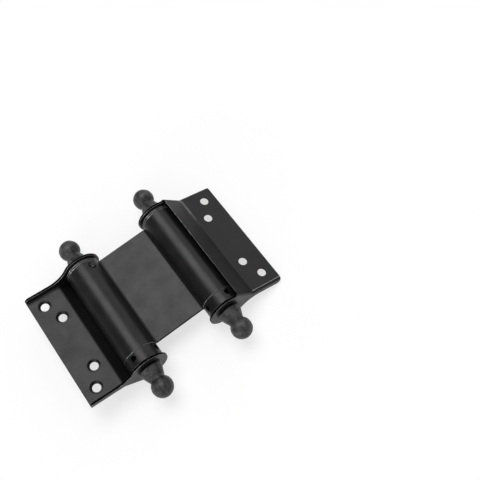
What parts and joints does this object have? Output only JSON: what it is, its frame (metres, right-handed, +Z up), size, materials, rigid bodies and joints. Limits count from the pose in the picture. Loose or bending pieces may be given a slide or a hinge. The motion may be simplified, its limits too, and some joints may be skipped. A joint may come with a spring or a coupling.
{
  "type": "double action cafe door hinge",
  "caption": "Double action cafe door spring hinge: a centre web rolled into spring barrels, folded screw-on leaves, tension collars with tommy holes and ball finials",
  "frame": {"origin": "middle of the underside of the hinge's box as it lies on a table with its leaves opened out", "axes": "+X from the left leaf to the right leaf, +Y along the barrels towards their fixed plugs, +Z up from the table"},
  "size_m": [0.1272, 0.1144, 0.0242],
  "materials": {
    "satin_black_web": "satin black paint over rolled steel sheet",
    "satin_black_leaf": "satin black paint over folded steel sheet",
    "black_finial": "matte black over a slightly uneven cast surface",
    "black_collar": "satin black, worn bright along the edges",
    "black_washer": "dull black",
    "spindle_steel": "plain turned steel, out of sight",
    "spring_steel": "dark oil tempered wire, out of sight"
  },
  "bodies": {
    "web": {"center_web": "satin_black_web", "left_fixed_plug": "black_collar", "left_plug_pin": "black_collar", "left_torsion_spring": "spring_steel", "right_fixed_plug": "black_collar", "right_plug_pin": "black_collar", "right_torsion_spring": "spring_steel"},
    "left_leaf_set": {"left_leaf": "satin_black_leaf", "left_spindle": "spindle_steel", "left_far_finial": "black_finial", "left_near_finial": "black_finial", "left_thrust_washer": "black_washer"},
    "left_collar": {"left_tension_collar": "black_collar"},
    "right_leaf_set": {"right_leaf": "satin_black_leaf", "right_spindle": "spindle_steel", "right_far_finial": "black_finial", "right_near_finial": "black_finial", "right_thrust_washer": "black_washer"},
    "right_collar": {"right_tension_collar": "black_collar"}
  },
  "joints": [
    {"name": "left_leaf_swing", "type": "hinge", "parent": "web", "child": "left_leaf_set", "pos_m": [-0.02617, 0, 0.01249], "axis": [0, 1, 0], "range_deg": [-100.4, 169.6]},
    {"name": "right_leaf_swing", "type": "hinge", "parent": "web", "child": "right_leaf_set", "pos_m": [0.02723, 0, 0.01249], "axis": [0, 1, 0], "range_deg": [-111.45, 158.55]},
    {"name": "left_collar_wind", "type": "hinge", "parent": "web", "child": "left_collar", "pos_m": [-0.02617, 0, 0.01249], "axis": [0, -1, 0], "range_deg": [0, 210], "stiffness_Nm_per_rad": 0.7, "deforming": ["left_torsion_spring"]},
    {"name": "right_collar_wind", "type": "hinge", "parent": "web", "child": "right_collar", "pos_m": [0.02723, 0, 0.01249], "axis": [0, -1, 0], "range_deg": [0, 210], "stiffness_Nm_per_rad": 0.7, "deforming": ["right_torsion_spring"]}
  ]
}
